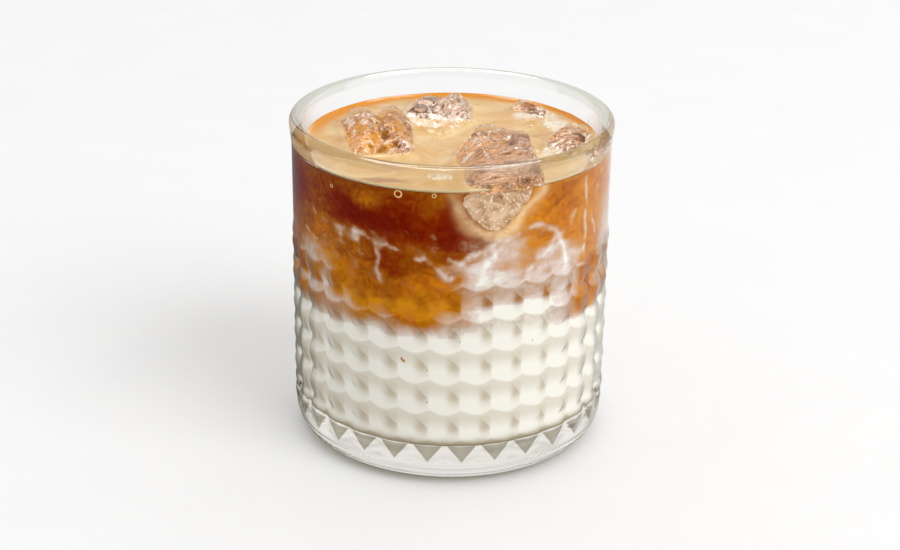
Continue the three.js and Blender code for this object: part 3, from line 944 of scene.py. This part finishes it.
foamPatches = (  # place, spread in mm, count, largest radius
    (-12.5, 17.5, 3, 40, 0.8), (-8.6, 13, 2.6, 50, 0.9), (-4.5, 12.2, 2.6, 40, 0.8), (1.2, 13.4, 3, 36, 0.7),
    (20, 15.2, 3.2, 30, 0.6), (26, 12.2, 3, 36, 0.7), (33, 6.5, 2.4, 24, 0.6), (24.2, -9, 2.2, 24, 0.6),
    (-24, -14.5, 2.5, 10, 0.4), (-3, -26, 3.4, 34, 0.7), (20.5, -24, 2.4, 12, 0.5),
)
domes = (  # place and radius
    (-5.7, 6.4, 1.5), (-3.4, 4.6, 1.1), (-1.3, 6.2, 1.3), (-7.2, 4, 0.8), (-2.2, 1.6, 0.7), (-4.4, 2, 0.9),
    (3.4, -1, 0.6), (-12, -13.5, 0.7), (11.5, 9, 0.6),
)
wallBubbles = (  # angle, height and radius
    (-19, 78.6, 0.85), (-6, 78.9, 0.5), (14, 68.8, 0.4), (20, 68.6, 0.55), (-48, 76.5, 0.4), (70, 77, 0.5),
    (130, 78, 0.7), (-140, 78.3, 0.6),
)
specks = (  # angle, height and size
    (-18, 34.7, 0.75), (-17.2, 34.2, 0.5), (-8, 32, 0.3), (-8, 23, 0.35), (4, 40, 0.25), (32, 38, 0.25),
    (95, 33, 0.5), (-110, 30, 0.4), (170, 35, 0.5),
)
smallForm = {"seed": 7, "flatness": 0.6, "furthest": 36, "overIce": -0.2, "domeSink": 0.15, "bubbleRim": 0.2,
             "bubbleDepth": 0.09, "bubbleAround": 28, "bubbleTube": 8, "speckDepth": 0.1, "speckRough": 0.12}
smallLooks = {  # two tones and the roughness
    "foamWhite": ((0.80, 0.62, 0.42), (0.92, 0.84, 0.72), 0.25),
    "domeFilm": ((0.76, 0.48, 0.18), (0.88, 0.66, 0.34), 0.05),
    "bubbleRim": ((0.85, 0.58, 0.24), (0.93, 0.74, 0.42), 0.2),
    "speckBrown": ((0.30, 0.12, 0.01), (0.50, 0.25, 0.03), 0.5),
}


def makeSmallMaterial(name):
    dim, light, roughness = smallLooks[name]
    material, tree, bsdf = startMaterial(name)
    tone = ramp(tree, mottle(tree, size=500, warp=0.6, detail=3), ((0.35, dim), (0.65, light)))
    fill(tree, bsdf, {"Base Color": tone, "Roughness": roughness, "IOR": 1.34})
    return material


def gather(name, parts, faces, look, slot):  # many small copies of one form in a single mesh
    count = len(parts[0])
    allFaces = [tuple(v + k * count for v in face) for k in range(len(parts)) for face in faces]
    piece = meshPiece(name, np.concatenate(parts), allFaces)
    place(piece, makeSmallMaterial(look), slot)
    return piece


def flattened(directions, size):
    return directions * (size, size, smallForm["flatness"] * size)


def makeFoam(directions, faces):
    rng = np.random.default_rng(smallForm["seed"])
    parts = []
    for x, y, spread, count, largest in foamPatches:
        for _ in range(count):
            spot = np.array([[x, y, 80.0]]) + rng.normal(0, 0.5, (1, 3)) * (spread, spread, 0)
            gap = min(nearChunk(chunk, spot)[0] for chunk in iceChunks.values())
            if gap < smallForm["overIce"] or math.hypot(spot[0, 0], spot[0, 1]) > smallForm["furthest"]:
                continue
            size = largest * (0.3 + 0.7 * rng.random() ** 2)
            spot[0, 2] = cremaHeight(spot)[0]
            parts.append(spot + flattened(directions, size))
    return gather("milkFoam", parts, faces, "foamWhite", "crema")


def makeDomes(directions, faces):
    parts = []
    for x, y, size in domes:
        spot = np.array([[x, y, 80.0]])
        spot[0, 2] = cremaHeight(spot)[0] - smallForm["domeSink"] * size
        parts.append(spot + flattened(directions, size))
    return gather("cremaDomes", parts, faces, "domeFilm", "crema")


def onWall(angle, z, flat):  # lays points (across, up, out) against the wall
    a = math.radians(angle)
    radius = float(innerRadius(np.array(z))) + drink["wallReach"]
    across, out = np.array([math.cos(a), math.sin(a), 0]), np.array([math.sin(a), -math.cos(a), 0])
    return radius * out + (0, 0, z) + flat[:, :1] * across + flat[:, 1:2] * (0, 0, 1) + flat[:, 2:] * out


def makeWallBubbles():
    f = smallForm
    around, tube = f["bubbleAround"], f["bubbleTube"]
    u, v = roundAngles(around)[:, None], roundAngles(tube)[None, :]
    depth = np.broadcast_to(f["bubbleDepth"] * np.sin(v), (around, tube))
    parts = []
    for angle, z, size in wallBubbles:
        radius = size + f["bubbleRim"] * size * np.cos(v)
        flat = np.stack([radius * np.cos(u), radius * np.sin(u), depth], -1).reshape(-1, 3)
        parts.append(onWall(angle, z, flat))
    faces = []
    for i, j in itertools.product(range(around), range(tube)):
        here, after, up = i * tube, (i + 1) % around * tube, (j + 1) % tube
        faces.append((here + j, after + j, after + up, here + up))
    return gather("wallBubbles", parts, faces, "bubbleRim", "crema")


def makeSpecks(directions, faces):
    f = smallForm
    parts = []
    for k, (angle, z, size) in enumerate(specks):
        wide, tall = size * (0.35 + 0.4 * scatter(k)), size * (0.4 + 0.5 * scatter(k + 9))
        flat = directions * (wide, tall, f["speckDepth"])
        rough = f["speckRough"] * (cloud(flat + k * 5, 0.5, 3, 2) - 0.5)
        parts.append(onWall(angle, z, flat + rough[:, None] * (1, 1, 0)))
    return gather("coffeeSpecks", parts, faces, "speckBrown", "coffee")


ballSmall = ballDirections(3)
smallPieces = [makeFoam(*ballSmall), makeDomes(*ballSmall), makeWallBubbles(), makeSpecks(*ballSmall)]
print("small pieces made,", sum(len(piece.data.polygons) for piece in smallPieces), "faces")


# Floor, light and camera

# at the left the floor is painted black in reflections only
floorLook = {"half": 3000, "steps": 8, "roughness": 0.7, "reflectionDarkEdge": (50, -30), "reflectionDarkShare": 0.75,
             "tones": ((0.3, (0.915, 0.915, 0.92)), (0.7, (0.93, 0.93, 0.93)))}
skyLight = {"base": 0.62, "top": 0.35, "topToward": (0.1, 0.5, 1), "topSpread": (0.2, 1.0),
            "hoop": 14.0, "hoopOuter": (0.82, 0.86), "hoopInner": (0.98, 0.94)}
keyLight = {"toward": (0.62, -0.47, 0.63), "distance": 3.0, "size": 2.2, "energy": 41, "aim": (0, 0, 0.04)}
photoView = {"focal": 72.37, "sensor": 36, "elevation": 23.2534, "distance": 484.578, "target": 41.4665,
             "roll": 0.7206}


def makeFloor():
    f = floorLook
    h, steps = f["half"], f["steps"]
    n = steps + 1
    places = [-h + 2 * h * i / steps for i in range(n)]
    points = [(x, y, 0) for y in places for x in places]
    corners = [j * n + i for j in range(steps) for i in range(steps)]
    floor = meshPiece("studioFloor", points, [(c, c + 1, c + 1 + n, c + n) for c in corners])
    material, tree, bsdf = startMaterial("paleFloor")
    tone = ramp(tree, mottle(tree, size=30, warp=0.2, detail=3), f["tones"])
    side = placeEdge(tree, surfacePlace(tree)[0], *f["reflectionDarkEdge"])
    darkInReflections = product(tree, mirrored(tree), side, f["reflectionDarkShare"])  # a painted dark reflection: at the left the floor turns black in reflections only, which keeps veils off the left
    fill(tree, bsdf, {"Base Color": mixColour(tree, darkInReflections, tone, (0.0, 0.0, 0.0)), "Roughness": f["roughness"],
                      "Specular IOR Level": 0.0})
    floor.data.materials.append(material)


def makeWorld():
    s = skyLight
    world = bpy.data.worlds.new("studioLight")
    bpy.context.scene.world = world
    world.use_nodes = True
    tree = world.node_tree
    where = tree.nodes.new("ShaderNodeTexCoord").outputs["Generated"]
    toward = {0: where, 1: Vector(s["topToward"]).normalized()}
    near = node(tree, "ShaderNodeVectorMath", toward, operation="DOT_PRODUCT").outputs["Value"]
    light = calc(tree, "MULTIPLY_ADD", softEdge(tree, near, *s["topSpread"]), s["top"], s["base"])
    up = node(tree, "ShaderNodeSeparateXYZ", {0: where}).outputs[2]
    hoop = product(tree, softEdge(tree, up, *s["hoopOuter"]), softEdge(tree, up, *s["hoopInner"]))
    hoop = product(tree, hoop, mirrored(tree))  # a ring of light that only gloss shows
    light = calc(tree, "MULTIPLY_ADD", hoop, s["hoop"], light)
    fill(tree, tree.nodes["Background"], {"Color": (1, 1, 1, 1), "Strength": light})


def makeKey():  # a soft box at the front right; the light the studs gather from it on the milk is painted into the drink's colour
    k = keyLight
    lamp = bpy.data.lights.new("softBox", "AREA")
    lamp.shape = "DISK"
    lamp.size = k["size"]
    lamp.energy = k["energy"]
    box = bpy.data.objects.new("softBox", lamp)
    bpy.context.scene.collection.objects.link(box)
    toward = Vector(k["toward"]).normalized()
    box.location = toward * k["distance"] + Vector(k["aim"])
    box.rotation_mode = "QUATERNION"
    box.rotation_quaternion = toward.to_track_quat("Z", "Y")


def makeCamera():
    v = photoView
    e = math.radians(v["elevation"])
    back = Vector((0, -math.cos(e), math.sin(e)))
    camera = bpy.data.objects.new("photoCamera", bpy.data.cameras.new("photoCamera"))
    bpy.context.scene.collection.objects.link(camera)
    camera.location = (Vector((0, 0, v["target"])) + back * v["distance"]) * mm
    camera.rotation_mode = "QUATERNION"
    roll = Quaternion((0, 0, 1), math.radians(v["roll"]))
    camera.rotation_quaternion = (-back).to_track_quat("-Z", "Y") @ roll
    camera.data.lens = v["focal"]
    camera.data.sensor_width = v["sensor"]
    camera.data.clip_start, camera.data.clip_end = 0.01, 20
    bpy.context.scene.camera = camera


makeFloor()
makeWorld()
makeKey()
makeCamera()
bpy.context.scene.view_settings.view_transform = "Standard"
bpy.context.scene.cycles.max_bounces = 20
bpy.context.scene.cycles.transmission_bounces = 18
bpy.context.scene.cycles.use_denoising = True
print("studio ready")
